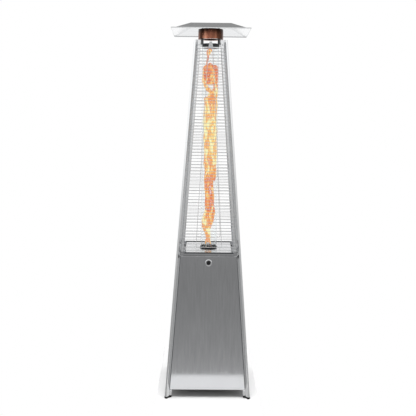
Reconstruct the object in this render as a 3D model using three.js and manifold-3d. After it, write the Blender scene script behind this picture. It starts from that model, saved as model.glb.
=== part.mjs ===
// Pyramid gas patio heater: four tapering corner rails on black shoes, a steel-clad cabinet
// for the gas cylinder, a burner deck, a tall glass flame tube behind four wire guards, a
// copper-coloured flame screen and a shallow pyramid hood.
// Millimetres, +Z up, front towards -Y. The heater's own centre line stands at y = -WHEEL_SHIFT,
// so that the whole footprint, rear wheels included, is centred on the origin.
import * as THREE from 'three';
import { mergeVertices } from 'three/addons/utils/BufferGeometryUtils.js';
import Module from 'manifold-3d';

const wasm = await Module();
wasm.setup();

// ---- driving dimensions -------------------------------------------------------------------
const GAP = 0.3;                 // clearance between touching pieces
const SHEET = 1.5;               // folded sheet thickness
const CORNER_AT_FLOOR = 250;     // half-width from the centre line to a rail's corner, at z = 0
const TAPER = 0.0751;            // how much every face leans in, per unit of height
const LEAN = Math.atan(TAPER);   // the same lean as an angle

const SHOE_TOP = 12;             // black shoes under the rails
const RAIL_SPLIT = 880;          // where upper rails stand on lower rails
const RAIL_TOP = 2145;

const PANEL_BOTTOM = 51.5;       // cabinet cladding
const PANEL_TOP = 869.5;
const PANEL_FACE = -6.5;         // cladding's outer face, measured from the corner line
const PANEL_DEPTH = 5.5;         // fold-back of every panel's edge
const PANEL_EDGE = 15.7;         // side edge of a fixed panel, inboard of the corner line
const DOOR_EDGE = 16.5;          // the door keeps a little more room at its sides

const BASE_FLOOR = 58;           // tray the gas cylinder stands on
const BASE_RIM = 80;

const DECK_FRAME_Z = 872;        // square frame closing the cabinet's top
const APRON_TOP = 893;
const DECK_Z = 888.5;            // top of the burner deck
const DECK_HALF_X = 143;
const DECK_HALF_Y = 161;
const DECK_LIP = 9;              // raised side lips of the deck

const GLASS_R = 50;              // flame tube
const GLASS_WALL = 2.5;
const GLASS_BOTTOM = 893.3;
const GLASS_TOP = 2130;

const GUARD_BOTTOM = 903;        // wire guards
const GUARD_TOP = 2098;
const GUARD_PITCH = 19;
const GUARD_WIRE = 2.6;
const GUARD_FACE = -10.4;

const TOP_PLATE_Z = 2104;
const COLLAR_R = 59.5;
const COLLAR_SILL = 2128;        // bottom of the collar's front and rear windows
const SCREEN_R = 75;             // copper flame screen
const SCREEN_BOTTOM = 2155;
const SCREEN_TOP = 2212;
const HOOD_RIM_Z = 2194;
const HOOD_TOP = 2238;
const HOOD_HALF = 229;
const HOOD_FLAT_HALF = 118;

const CONTROL_Z = 812;           // gas knob and igniter, high on the rear panel
const KNOB_X = -32;
const IGNITER_X = 34;
const LATCH_Z = 829.5;           // turn knob that locks the door

const WHEEL_R = 30;
const WHEEL_WIDTH = 22;
const WHEEL_CLEARANCE = 3;       // wheels touch the ground only when the heater is tipped back
const AXLE_R = 4;
const AXLE_Y = 276;
const SHOE_EDGE = 13;            // a shoe's outer corner beyond the corner line
const WHEEL_SHIFT = (AXLE_Y + WHEEL_R - (CORNER_AT_FLOOR + SHOE_EDGE)) / 2;

const corner = (z) => CORNER_AT_FLOOR - TAPER * z;

// ---- finishes -----------------------------------------------------------------------------
const finish = (color, roughness, metalness) =>
  new THREE.MeshStandardMaterial({ color, roughness, metalness });
const FINISH = {
  steel: finish(0xb8babd, 0.32, 1),
  railSteel: finish(0xc8cacc, 0.25, 1),
  wire: finish(0x9fa1a4, 0.3, 1),
  hoodSteel: finish(0xc4c6c8, 0.3, 1),
  copper: finish(0xb87a5c, 0.3, 1),
  blackMetal: finish(0x2a2c2e, 0.55, 0.6),
  blackPlastic: finish(0x17181a, 0.6, 0),
  brass: finish(0xb59a4d, 0.35, 1),
  glass: new THREE.MeshStandardMaterial({
    color: 0xdfe6e8, roughness: 0.05, transparent: true, opacity: 0.25,
  }),
  red: finish(0xb4302a, 0.35, 0),
  silicone: finish(0xb9462f, 0.7, 0),
  tyre: finish(0x1c1c1d, 0.8, 0),
};

// ---- helpers ------------------------------------------------------------------------------
const named = (name, geometry, material) => {
  const mesh = new THREE.Mesh(geometry, material);
  mesh.name = name;
  return mesh;
};

// A flat outline through [x, y] pairs, always run anticlockwise.
const outline = (pairs) => {
  const points = pairs.map(([x, y]) => new THREE.Vector2(x, y));
  return new THREE.Shape(THREE.ShapeUtils.isClockWise(points) ? points.reverse() : points);
};

const extrude = (shape, depth, curveSegments = 12) =>
  new THREE.ExtrudeGeometry(shape, { depth, bevelEnabled: false, curveSegments });

// A turned piece about +Z: profile pairs are [radius, height], anticlockwise round the section.
const turned = (profile, segments = 24, start = 0) => {
  const points = profile.map(([r, z]) => new THREE.Vector2(r, z));
  return new THREE.LatheGeometry(points, segments, start).rotateX(Math.PI / 2);
};

// A square piece about +Z: a turned piece with four sides, pairs are [half-width, height].
const squareTurned = (profile) =>
  turned(profile.map(([half, z]) => [half * Math.SQRT2, z]), 4, Math.PI / 4);

const box = (x0, x1, y0, y1, z0, z1) =>
  new THREE.BoxGeometry(Math.abs(x1 - x0), y1 - y0, z1 - z0)
    .translate((x0 + x1) / 2, (y0 + y1) / 2, (z0 + z1) / 2);

const rod = (radius, z0, z1, segments = 16) =>
  new THREE.CylinderGeometry(radius, radius, z1 - z0, segments)
    .rotateX(Math.PI / 2)
    .translate(0, 0, (z0 + z1) / 2);

const toSolid = (geometry) => {
  const bare = geometry.clone();
  bare.deleteAttribute('normal');
  bare.deleteAttribute('uv');
  const merged = mergeVertices(bare, 1e-4);
  return new wasm.Manifold(new wasm.Mesh({
    numProp: 3,
    vertProperties: new Float32Array(merged.attributes.position.array),
    triVerts: new Uint32Array(merged.index.array),
  }));
};

const toGeometry = (solid) => {
  const mesh = solid.getMesh();
  const geometry = new THREE.BufferGeometry();
  geometry.setAttribute('position', new THREE.BufferAttribute(mesh.vertProperties, 3));
  geometry.setIndex(new THREE.BufferAttribute(mesh.triVerts, 1));
  geometry.computeVertexNormals();
  return geometry;
};

const join = (...pieces) => toGeometry(pieces.map(toSolid).reduce((sum, piece) => sum.add(piece)));
const cut = (body, ...tools) =>
  toGeometry(tools.map(toSolid).reduce((left, tool) => left.subtract(tool), toSolid(body)));

const heater = new THREE.Group();
heater.position.y = -WHEEL_SHIFT;

// One leaning face: x across, y up the slope from the floor, z outwards from the corner line.
// side 0 is the front, 1 the right, 2 the rear and 3 the left.
const face = (side) => {
  const turn = new THREE.Group();
  turn.rotation.z = side * Math.PI / 2;
  const lean = new THREE.Group();
  lean.matrix.makeBasis(
    new THREE.Vector3(1, 0, 0),
    new THREE.Vector3(0, Math.sin(LEAN), Math.cos(LEAN)),
    new THREE.Vector3(0, -Math.cos(LEAN), Math.sin(LEAN)),
  );
  lean.matrix.decompose(lean.position, lean.quaternion, lean.scale);
  lean.position.y = -CORNER_AT_FLOOR;
  turn.add(lean);
  heater.add(turn);
  return lean;
};
const FACES = [0, 1, 2, 3].map(face);
const FRONT = FACES[0];
const REAR = FACES[2];
const SIDE_NAMES = ['front', 'right', 'rear', 'left'];
const slope = (z) => z / Math.cos(LEAN);
const CORNERS = [
  ['front_left', -1, -1],
  ['front_right', 1, -1],
  ['rear_right', 1, 1],
  ['rear_left', -1, 1],
];

// ---- corner rails and shoes ---------------------------------------------------------------
// Rail section about its corner: a hollow ridge with a chamfered nose, and two fins that the
// panels and guards are screwed to. Outward is +x and forward is +y, mirrored on the diagonal.
const NOSE = 11.5;
const CHEEK = [-14.5, -5.5];
const FIN_END = -30;
const FIN_FACE = -14;
const FIN_BACK = FIN_FACE - 1.2;
const RAIL_WALL = 2;

const railSection = () => {
  const half = [
    [FIN_END, FIN_BACK], [FIN_END, FIN_FACE], [CHEEK[0], FIN_FACE], CHEEK, [0, NOSE],
  ];
  const mirrored = half.map(([x, y]) => [y, x]).reverse();
  const section = outline([...half, ...mirrored, [FIN_BACK, FIN_BACK]]);
  const side = CHEEK[1] - 0.4;
  const back = CHEEK[0] + RAIL_WALL;
  const tip = NOSE - RAIL_WALL;
  const hollow = [[back, side], [0, tip], [tip, 0], [side, back], [back, back]];
  section.holes.push(new THREE.Path(hollow.map(([x, y]) => new THREE.Vector2(x, y))));
  return section;
};

// A straight extrusion sheared so that it follows the corner as it leans in, then mirrored
// into its own corner.
const alongCorner = (shape, z0, z1, sx, sy) => {
  const piece = extrude(shape, z1 - z0).translate(0, 0, z0);
  const shear = new THREE.Matrix4().set(
    sx, 0, -sx * TAPER, sx * CORNER_AT_FLOOR,
    0, sy, -sy * TAPER, sy * CORNER_AT_FLOOR,
    0, 0, 1, 0,
    0, 0, 0, 1,
  );
  piece.applyMatrix4(shear);
  if (sx * sy < 0) {
    flipFaces(piece);
  }
  return piece;
};

// A mirrored geometry has its triangles turned inside out: swap two corners of each.
function flipFaces(geometry) {
  const p = geometry.attributes.position.array;
  for (let i = 0; i < p.length; i += 9) {
    for (let k = 0; k < 3; k += 1) {
      [p[i + 3 + k], p[i + 6 + k]] = [p[i + 6 + k], p[i + 3 + k]];
    }
  }
  geometry.computeVertexNormals();
}

const shoeOutline = () => {
  const grow = SHOE_EDGE - NOSE;
  const end = FIN_END - grow;
  const half = [
    [end, FIN_BACK - grow], [end, FIN_FACE + grow], [CHEEK[0] - grow, CHEEK[1]], [0, SHOE_EDGE],
  ];
  const mirrored = half.map(([x, y]) => [y, x]).reverse();
  return outline([...half, ...mirrored]);
};

for (const [place, sx, sy] of CORNERS) {
  heater.add(named(`shoe_${place}`,
    alongCorner(shoeOutline(), 0, SHOE_TOP - GAP, sx, sy), FINISH.blackPlastic));
  heater.add(named(`lower_rail_${place}`,
    alongCorner(railSection(), SHOE_TOP, RAIL_SPLIT - GAP, sx, sy), FINISH.railSteel));
  heater.add(named(`upper_rail_${place}`,
    alongCorner(railSection(), RAIL_SPLIT, RAIL_TOP, sx, sy), FINISH.railSteel));
}

// ---- cabinet ------------------------------------------------------------------------------
// A leaning sheet tray: a trapezium between two heights with its four edges folded back.
const trapezium = (bottom, top, edge) => {
  const low = corner(bottom) - edge;
  const high = corner(top) - edge;
  return outline([
    [-low, slope(bottom)], [low, slope(bottom)], [high, slope(top)], [-high, slope(top)],
  ]);
};

const tray = (bottom, top, edge) => {
  const shell = extrude(trapezium(bottom, top, edge), PANEL_DEPTH);
  const pocket = extrude(trapezium(bottom + SHEET, top - SHEET, edge + SHEET), PANEL_DEPTH);
  return cut(shell, pocket.translate(0, 0, -SHEET)).translate(0, 0, PANEL_FACE - PANEL_DEPTH);
};

for (const side of [1, 3]) {
  FACES[side].add(named(`${SIDE_NAMES[side]}_panel`,
    tray(PANEL_BOTTOM, PANEL_TOP, PANEL_EDGE), FINISH.steel));
}

// Half-width of a sheet that just fits between the rails' fins at a height.
const betweenFins = (z) => corner(z) + FIN_BACK - 2 * GAP;
const BASE_HALF = betweenFins(BASE_RIM);
heater.add(named('base_tray', squareTurned([
  [0, BASE_FLOOR],
  [BASE_HALF, BASE_FLOOR],
  [BASE_HALF, BASE_RIM],
  [BASE_HALF - SHEET, BASE_RIM],
  [BASE_HALF - SHEET, BASE_FLOOR + SHEET],
  [0, BASE_FLOOR + SHEET],
]), FINISH.steel));

// Square frame on top of the cabinet: a flat ring that carries the deck, tabs that reach out
// between the rails' fins, and a leaning apron strip on every face above the panels.
const KEEPER_FACE = -19.5;
const KEEPER_BOTTOM = 855;
const KEEPER_HALF = 22;
const FRAME_OPENING = 140;
const makeDeckFrame = () => {
  const z0 = DECK_FRAME_Z;
  const z1 = DECK_FRAME_Z + SHEET;
  const reach = betweenFins(z0);
  const ring = squareTurned([
    [FRAME_OPENING, z0], [reach, z0], [reach, z1], [FRAME_OPENING, z1], [FRAME_OPENING, z0],
  ]);
  const tabHalf = corner(z0) + FIN_END - 1;
  const outer = corner(z0) + PANEL_FACE - 0.5;
  const tabs = [
    box(-tabHalf, tabHalf, -outer, outer, z0, z1),
    box(-outer, outer, -tabHalf, tabHalf, z0, z1),
  ];
  const strips = FACES.map((leaning) => {
    const strip = extrude(trapezium(z0, APRON_TOP, PANEL_EDGE), SHEET);
    leaning.updateWorldMatrix(true, false);
    return strip.translate(0, 0, PANEL_FACE - SHEET)
      .applyMatrix4(leaning.matrixWorld)
      .translate(0, WHEEL_SHIFT, 0);
  });
  const keeperY = -(corner(z0) + KEEPER_FACE);
  const keeper = box(-KEEPER_HALF, KEEPER_HALF, keeperY, keeperY + SHEET, KEEPER_BOTTOM, z1);
  const opening = box(-FRAME_OPENING, FRAME_OPENING, -FRAME_OPENING, FRAME_OPENING, z0 - 1, z1 + 1);
  return cut(join(ring, ...tabs, ...strips, keeper), opening);
};
heater.add(named('deck_frame', makeDeckFrame(), FINISH.steel));

// Burner deck: a shallow upturned pan with raised side lips and a round burner hole.
const BURNER_HOLE_R = 27;
const makeDeck = () => {
  const skirt = DECK_FRAME_Z + SHEET + GAP;
  const x = DECK_HALF_X;
  const y = DECK_HALF_Y;
  const pan = box(-x, x, -y, y, skirt, DECK_Z);
  const lips = [-1, 1].map((s) => box(s * (x - SHEET), s * x, -y, y, DECK_Z - 5, DECK_Z + DECK_LIP));
  const hollow = box(SHEET - x, x - SHEET, SHEET - y, y - SHEET, skirt - 1, DECK_Z - SHEET);
  return cut(join(pan, ...lips), hollow, rod(BURNER_HOLE_R, DECK_Z - 5, DECK_Z + 5, 32));
};
heater.add(named('burner_deck', makeDeck(), FINISH.steel));

// ---- front door, its pivots and its turn latch --------------------------------------------
// The door turns on two pins on a line along its left edge, parallel to the left rail.
const HINGE_INSET = DOOR_EDGE + 3.4;
const HINGE_DEPTH = PANEL_FACE - 3.2;
const PIN_R = 1.5;
const PIN_HOLE_R = 1.8;
const hingeX = (z) => -(corner(z) - HINGE_INSET);

// A round bar on the hinge line between two heights, in the front face's own axes.
const onHingeLine = (radius, z0, z1) => {
  const tilt = Math.atan(TAPER * Math.cos(LEAN));
  return rod(radius, 0, slope(z1 - z0) / Math.cos(tilt), 12)
    .rotateX(-Math.PI / 2)
    .rotateZ(-tilt)
    .translate(hingeX(z0), slope(z0), HINGE_DEPTH);
};

const LATCH_STEM_R = 4;
const LATCH_HOLE_R = 4.4;
const latchPlace = (geometry) => geometry.translate(0, slope(LATCH_Z), 0);
const makeDoor = () => {
  const stemHole = latchPlace(rod(LATCH_HOLE_R, PANEL_FACE - 8, PANEL_FACE + 2, 20));
  const topHole = onHingeLine(PIN_HOLE_R, PANEL_TOP - 6, PANEL_TOP + 4);
  const bottomHole = onHingeLine(PIN_HOLE_R, PANEL_BOTTOM - 4, PANEL_BOTTOM + 6);
  return cut(tray(PANEL_BOTTOM, PANEL_TOP, DOOR_EDGE), stemHole, topHole, bottomHole);
};
FRONT.add(named('front_door', makeDoor(), FINISH.steel));

const makeBottomPivot = () => {
  const z0 = 40;
  const z1 = 49;
  const outer = -(corner(z0) - PANEL_EDGE);
  const block = box(outer, outer + 12, slope(z0), slope(z1), FIN_FACE + GAP, PANEL_FACE - 1);
  return join(block, onHingeLine(PIN_R, z0 + 3, PANEL_BOTTOM + 7));
};
FRONT.add(named('door_pivot_bottom', makeBottomPivot(), FINISH.wire));
FRONT.add(named('door_pivot_top', onHingeLine(PIN_R, PANEL_TOP - 8, DECK_FRAME_Z - 1.2), FINISH.wire));

FRONT.add(named('latch_bezel', latchPlace(turned([
  [LATCH_HOLE_R, PANEL_FACE + GAP],
  [21, PANEL_FACE + GAP],
  [20, PANEL_FACE + 3],
  [14, PANEL_FACE + 3.6],
  [LATCH_HOLE_R, PANEL_FACE + 2],
  [LATCH_HOLE_R, PANEL_FACE + GAP],
], 32)), FINISH.railSteel));
const CAM_BACK = KEEPER_FACE - 5.5;
FRONT.add(named('latch_knob', latchPlace(turned([
  [0, CAM_BACK - 1],
  [LATCH_STEM_R, CAM_BACK - 1],
  [LATCH_STEM_R, PANEL_FACE + 4.2],
  [11, PANEL_FACE + 4.2],
  [11, PANEL_FACE + 14],
  [9, PANEL_FACE + 16.5],
  [0, PANEL_FACE + 16.5],
], 24)), FINISH.blackPlastic));
const CAM_REACH = 32;
const CAM_HALF = 7;
const makeCam = () => {
  const cam = new THREE.Shape();
  cam.moveTo(0, -CAM_HALF);
  cam.lineTo(CAM_REACH, -CAM_HALF);
  cam.lineTo(CAM_REACH, CAM_HALF);
  cam.lineTo(0, CAM_HALF);
  cam.absarc(0, 0, CAM_HALF, Math.PI / 2, 3 * Math.PI / 2, false);
  cam.holes.push(new THREE.Path().absarc(0, 0, LATCH_STEM_R + GAP, 0, 2 * Math.PI, true));
  return latchPlace(extrude(cam, 2, 6).translate(0, 0, CAM_BACK));
};
FRONT.add(named('latch_cam', makeCam(), FINISH.wire));

// ---- rear panel with the gas controls -----------------------------------------------------
const CONTROL_HALF_X = 72;
const CONTROL_HALF_V = 40;
const controlPlace = (geometry, x) => geometry.translate(x, slope(CONTROL_Z), 0);
const makeRearPanel = () => {
  const opening = controlPlace(box(
    -CONTROL_HALF_X, CONTROL_HALF_X, -CONTROL_HALF_V, CONTROL_HALF_V, PANEL_FACE - 20, PANEL_FACE + 5,
  ), 0);
  return cut(tray(PANEL_BOTTOM, PANEL_TOP, PANEL_EDGE), opening);
};
REAR.add(named('rear_panel', makeRearPanel(), FINISH.steel));

const SPINDLE_HOLE_R = 6;
const IGNITER_R = 9.5;
const makeControlPlate = () => {
  const halfX = CONTROL_HALF_X - 2 * GAP;
  const halfV = CONTROL_HALF_V - 2 * GAP;
  const plate = outline([[-halfX, -halfV], [halfX, -halfV], [halfX, halfV], [-halfX, halfV]]);
  plate.holes.push(new THREE.Path().absarc(KNOB_X, 0, SPINDLE_HOLE_R, 0, 2 * Math.PI, true));
  plate.holes.push(new THREE.Path().absarc(IGNITER_X, 0, IGNITER_R + GAP, 0, 2 * Math.PI, true));
  return controlPlace(extrude(plate, SHEET, 8).translate(0, 0, PANEL_FACE - SHEET), 0);
};
REAR.add(named('control_plate', makeControlPlate(), FINISH.blackMetal));

const VALVE_FRONT = PANEL_FACE - SHEET - 6;
const VALVE_BACK = VALVE_FRONT - 38;
const VALVE_HALF = 17;
const SPINDLE_R = 4;
const SPINDLE_TIP = 6;
REAR.add(named('gas_valve', controlPlace(cut(
  box(-VALVE_HALF, VALVE_HALF, -VALVE_HALF, VALVE_HALF, VALVE_BACK, VALVE_FRONT),
  rod(SPINDLE_R + GAP, VALVE_FRONT - 12, VALVE_FRONT + 5),
), KNOB_X), FINISH.brass));
REAR.add(named('valve_spindle', controlPlace(
  rod(SPINDLE_R, VALVE_FRONT - 12 + GAP, SPINDLE_TIP), KNOB_X), FINISH.brass));
const KNOB_BACK = PANEL_FACE + 5.5;
REAR.add(named('gas_knob', controlPlace(turned([
  [SPINDLE_R + GAP, KNOB_BACK],
  [22, KNOB_BACK],
  [22, KNOB_BACK + 8],
  [18, KNOB_BACK + 10],
  [16.5, KNOB_BACK + 21],
  [14.5, KNOB_BACK + 23],
  [0, KNOB_BACK + 23],
  [0, SPINDLE_TIP + 6],
  [SPINDLE_R + GAP, SPINDLE_TIP + 6],
  [SPINDLE_R + GAP, KNOB_BACK],
], 28), KNOB_X), FINISH.blackPlastic));

const BUTTON_R = 7;
REAR.add(named('igniter_body', controlPlace(turned([
  [0, PANEL_FACE - 44],
  [IGNITER_R, PANEL_FACE - 44],
  [IGNITER_R, PANEL_FACE + GAP],
  [13, PANEL_FACE + GAP],
  [13, PANEL_FACE + 3.5],
  [BUTTON_R + GAP, PANEL_FACE + 3.5],
  [BUTTON_R + GAP, PANEL_FACE - 16],
  [0, PANEL_FACE - 16],
], 24), IGNITER_X), FINISH.blackPlastic));
REAR.add(named('igniter_button', controlPlace(turned([
  [0, PANEL_FACE - 8],
  [BUTTON_R, PANEL_FACE - 8],
  [BUTTON_R, PANEL_FACE + 10],
  [5.5, PANEL_FACE + 11.5],
  [0, PANEL_FACE + 11.5],
], 24), IGNITER_X), FINISH.red));

// Gas inlet under the valve: a threaded nipple with a hexagon, open for the hose.
const NIPPLE_LENGTH = 30;
REAR.add(named('inlet_nipple', turned([
  [3, 0], [6, 0], [6, 14], [9, 14], [9, 22], [5, 22], [5, NIPPLE_LENGTH], [3, NIPPLE_LENGTH], [3, 0],
], 12).rotateX(-Math.PI / 2).translate(
  KNOB_X, slope(CONTROL_Z) - VALVE_HALF - GAP - NIPPLE_LENGTH, (VALVE_BACK + VALVE_FRONT) / 2,
), FINISH.brass));

// ---- burner -------------------------------------------------------------------------------
const HEAD_R = 37;
const NECK_R = 22;
const NECK_BOTTOM = 862;
heater.add(named('burner_head', turned([
  [0, NECK_BOTTOM + 8],
  [NECK_R - 3, NECK_BOTTOM + 8],
  [NECK_R - 3, NECK_BOTTOM],
  [NECK_R, NECK_BOTTOM],
  [NECK_R, DECK_Z + GAP],
  [HEAD_R, DECK_Z + GAP],
  [HEAD_R, DECK_Z + 12],
  [HEAD_R - 3, DECK_Z + 16],
  [0, DECK_Z + 16],
], 32), FINISH.blackMetal));
heater.add(named('glass_seat_ring', turned([
  [GLASS_R - 9, DECK_Z + GAP],
  [GLASS_R + 2.3, DECK_Z + GAP],
  [GLASS_R + 2.3, GLASS_BOTTOM + 5],
  [GLASS_R + GAP, GLASS_BOTTOM + 5],
  [GLASS_R + GAP, GLASS_BOTTOM - GAP],
  [GLASS_R - 9, GLASS_BOTTOM - GAP],
  [GLASS_R - 9, DECK_Z + GAP],
], 48), FINISH.blackMetal));

const MIXER_BOTTOM = 790;
const MIXER_TOP = NECK_BOTTOM - GAP;
const mixerHoles = [0, 1].map((i) => rod(6, -40, 40, 12)
  .rotateX(Math.PI / 2)
  .rotateZ(i * Math.PI / 2)
  .translate(0, 0, MIXER_BOTTOM + 22));
heater.add(named('mixing_tube', cut(turned([
  [16, MIXER_BOTTOM], [18, MIXER_BOTTOM], [18, MIXER_TOP], [16, MIXER_TOP], [16, MIXER_BOTTOM],
], 24), ...mixerHoles), FINISH.steel));
const INJECTOR_BOTTOM = MIXER_BOTTOM - 22;
heater.add(named('gas_injector', turned([
  [0, INJECTOR_BOTTOM],
  [9, INJECTOR_BOTTOM],
  [9, MIXER_BOTTOM - 10],
  [19, MIXER_BOTTOM - 10],
  [19, MIXER_BOTTOM - GAP],
  [5, MIXER_BOTTOM - GAP],
  [4, MIXER_BOTTOM + 8],
  [0, MIXER_BOTTOM + 8],
], 16), FINISH.brass));

// Rigid pipe from the valve's inner face down and across to the injector. The rear face's own x
// runs the other way, so the valve stands at -KNOB_X here.
const PIPE_R = 4;
const VALVE_INNER_Y = 136.4;
const makeSupplyPipe = () => {
  const points = [
    [-KNOB_X, VALVE_INNER_Y, CONTROL_Z - 4],
    [-KNOB_X, VALVE_INNER_Y - 30, CONTROL_Z - 7],
    [-KNOB_X * 0.75, 45, MIXER_BOTTOM - 42],
    [-KNOB_X * 0.3, 10, MIXER_BOTTOM - 62],
    [0, 0, MIXER_BOTTOM - 46],
    [0, 0, INJECTOR_BOTTOM - GAP],
  ];
  const extrudePath = new THREE.CatmullRomCurve3(points.map((point) => new THREE.Vector3(...point)));
  const section = new THREE.Shape().absarc(0, 0, PIPE_R, 0, 2 * Math.PI, false);
  const settings = { steps: 28, extrudePath, curveSegments: 4, bevelEnabled: false };
  return new THREE.ExtrudeGeometry(section, settings);
};
heater.add(named('supply_pipe', makeSupplyPipe(), FINISH.copper));

// Ignition electrode and flame sensor stand in the ring between burner head and glass.
const PROBE_R = 2.2;
const PROBE_ORBIT = 42.5;
const PROBES = [['ignition_electrode', -0.35, 34], ['flame_sensor', 0.35, 26]];
for (const [name, angle, height] of PROBES) {
  const x = PROBE_ORBIT * Math.sin(angle);
  const y = -PROBE_ORBIT * Math.cos(angle);
  heater.add(named(name,
    rod(PROBE_R, GLASS_BOTTOM, GLASS_BOTTOM + height, 10).translate(x, y, 0), FINISH.copper));
}
const DECK_UNDERSIDE = DECK_Z - SHEET - GAP;
heater.add(named('tilt_switch',
  box(40, 74, 60, 84, DECK_UNDERSIDE - 22, DECK_UNDERSIDE), FINISH.blackPlastic));

// ---- flame tube and its top fittings ------------------------------------------------------
heater.add(named('glass_tube', turned([
  [GLASS_R - GLASS_WALL, GLASS_BOTTOM],
  [GLASS_R, GLASS_BOTTOM],
  [GLASS_R, GLASS_TOP],
  [GLASS_R - GLASS_WALL, GLASS_TOP],
  [GLASS_R - GLASS_WALL, GLASS_BOTTOM],
], 40), FINISH.glass));

// Square plate between the rails with upturned corner flaps, which the rails are screwed to.
const FLAP_TOP = TOP_PLATE_Z + 14;
const FLAP_START = 50;
const makeTopPlate = () => {
  const reach = corner(FLAP_TOP) + FIN_BACK - GAP;
  const floor = TOP_PLATE_Z + SHEET;
  const pan = squareTurned([
    [0, TOP_PLATE_Z],
    [reach, TOP_PLATE_Z],
    [reach, FLAP_TOP],
    [reach - SHEET, FLAP_TOP],
    [reach - SHEET, floor],
    [0, floor],
  ]);
  const clearX = box(-FLAP_START, FLAP_START, -reach - 1, reach + 1, floor, FLAP_TOP + 5);
  const clearY = box(-reach - 1, reach + 1, -FLAP_START, FLAP_START, floor, FLAP_TOP + 5);
  return cut(pan, clearX, clearY, rod(GLASS_R + 1, TOP_PLATE_Z - 5, TOP_PLATE_Z + 5, 40));
};
heater.add(named('top_plate', makeTopPlate(), FINISH.railSteel));

const COLLAR_BOTTOM = TOP_PLATE_Z + SHEET + GAP;
heater.add(named('tube_seal', turned([
  [GLASS_R + GAP, COLLAR_BOTTOM],
  [COLLAR_R - SHEET - GAP, COLLAR_BOTTOM],
  [COLLAR_R - SHEET - GAP, COLLAR_SILL - 3],
  [GLASS_R + GAP, COLLAR_SILL - 3],
  [GLASS_R + GAP, COLLAR_BOTTOM],
], 40), FINISH.silicone));

// Black collar round the tube's top: open to front and rear above its sill, so that two curved
// walls at the sides carry the flame screen.
const WINDOW_HALF = 44;
const collarWall = turned([
  [COLLAR_R - SHEET, COLLAR_BOTTOM],
  [COLLAR_R, COLLAR_BOTTOM],
  [COLLAR_R, SCREEN_BOTTOM - GAP],
  [COLLAR_R - SHEET, SCREEN_BOTTOM - GAP],
  [COLLAR_R - SHEET, COLLAR_BOTTOM],
], 40);
const collarWindows = box(-WINDOW_HALF, WINDOW_HALF, -80, 80, COLLAR_SILL, SCREEN_BOTTOM + 5);
heater.add(named('tube_collar', cut(collarWall, collarWindows), FINISH.blackMetal));

// Folded bracket at the front centre that ties top plate, collar and guard together.
const makeFrontBracket = () => {
  const y = -(corner(FLAP_TOP) + FIN_FACE);
  const foot = TOP_PLATE_Z - 8;
  const head = COLLAR_SILL + 8;
  const plate = outline([[-16, foot], [16, foot], [7.5, head], [-7.5, head]]);
  plate.holes.push(new THREE.Path().absarc(0, foot + 21, 3.2, 0, 2 * Math.PI, true));
  const upright = extrude(plate, 1.2, 5).rotateX(Math.PI / 2).translate(0, y, 0);
  const tongue = box(-6, 6, y - 0.6, -COLLAR_R - GAP, head - 1.4, head);
  return join(upright, tongue);
};
heater.add(named('front_bracket', makeFrontBracket(), FINISH.wire));

heater.add(named('flame_screen', turned([
  [COLLAR_R - 3.5, SCREEN_BOTTOM],
  [SCREEN_R, SCREEN_BOTTOM],
  [SCREEN_R, SCREEN_TOP],
  [SCREEN_R - 1.2, SCREEN_TOP],
  [SCREEN_R - 1.2, SCREEN_BOTTOM + 1.2],
  [COLLAR_R - 3.5, SCREEN_BOTTOM + 1.2],
  [COLLAR_R - 3.5, SCREEN_BOTTOM],
], 40), FINISH.copper));
const CAP_BOTTOM = SCREEN_TOP + GAP;
const CAP_TOP = CAP_BOTTOM + SHEET;
heater.add(named('screen_cap', rod(SCREEN_R + 1, CAP_BOTTOM, CAP_TOP, 40), FINISH.hoodSteel));

const SPACER_ORBIT = 48;
for (const [place, sx, sy] of CORNERS) {
  heater.add(named(`hood_spacer_${place}`,
    rod(6, CAP_TOP + GAP, HOOD_TOP - SHEET - GAP, 12)
      .translate(sx * SPACER_ORBIT, sy * SPACER_ORBIT, 0), FINISH.wire));
}

// Hood: one shallow square pan with a flat top and a small turned-down hem.
const HEM = 4;
heater.add(named('hood', squareTurned([
  [0, HOOD_TOP - SHEET],
  [HOOD_FLAT_HALF - 0.5, HOOD_TOP - SHEET],
  [HOOD_HALF - SHEET, HOOD_RIM_Z + HEM],
  [HOOD_HALF - SHEET, HOOD_RIM_Z],
  [HOOD_HALF, HOOD_RIM_Z],
  [HOOD_HALF, HOOD_RIM_Z + HEM + 0.5],
  [HOOD_FLAT_HALF, HOOD_TOP],
  [0, HOOD_TOP],
]), FINISH.hoodSteel));

// ---- wire guards --------------------------------------------------------------------------
// Each guard is a leaning grille: cross wires every GUARD_PITCH between two side stiles.
const makeGuard = () => {
  const edge = PANEL_EDGE + GAP;
  const grille = trapezium(GUARD_BOTTOM, GUARD_TOP, edge);
  const span = GUARD_TOP - GUARD_BOTTOM - GUARD_WIRE;
  const count = Math.round(span / GUARD_PITCH);
  const pitch = span / count;
  for (let i = 0; i < count; i += 1) {
    const z0 = GUARD_BOTTOM + i * pitch + GUARD_WIRE;
    const z1 = GUARD_BOTTOM + (i + 1) * pitch;
    grille.holes.push(trapezium(z0, z1, edge + GUARD_WIRE));
  }
  return extrude(grille, GUARD_WIRE).translate(0, 0, GUARD_FACE - GUARD_WIRE);
};
for (let side = 0; side < 4; side += 1) {
  FACES[side].add(named(`guard_${SIDE_NAMES[side]}`, makeGuard(), FINISH.wire));
}

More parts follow.
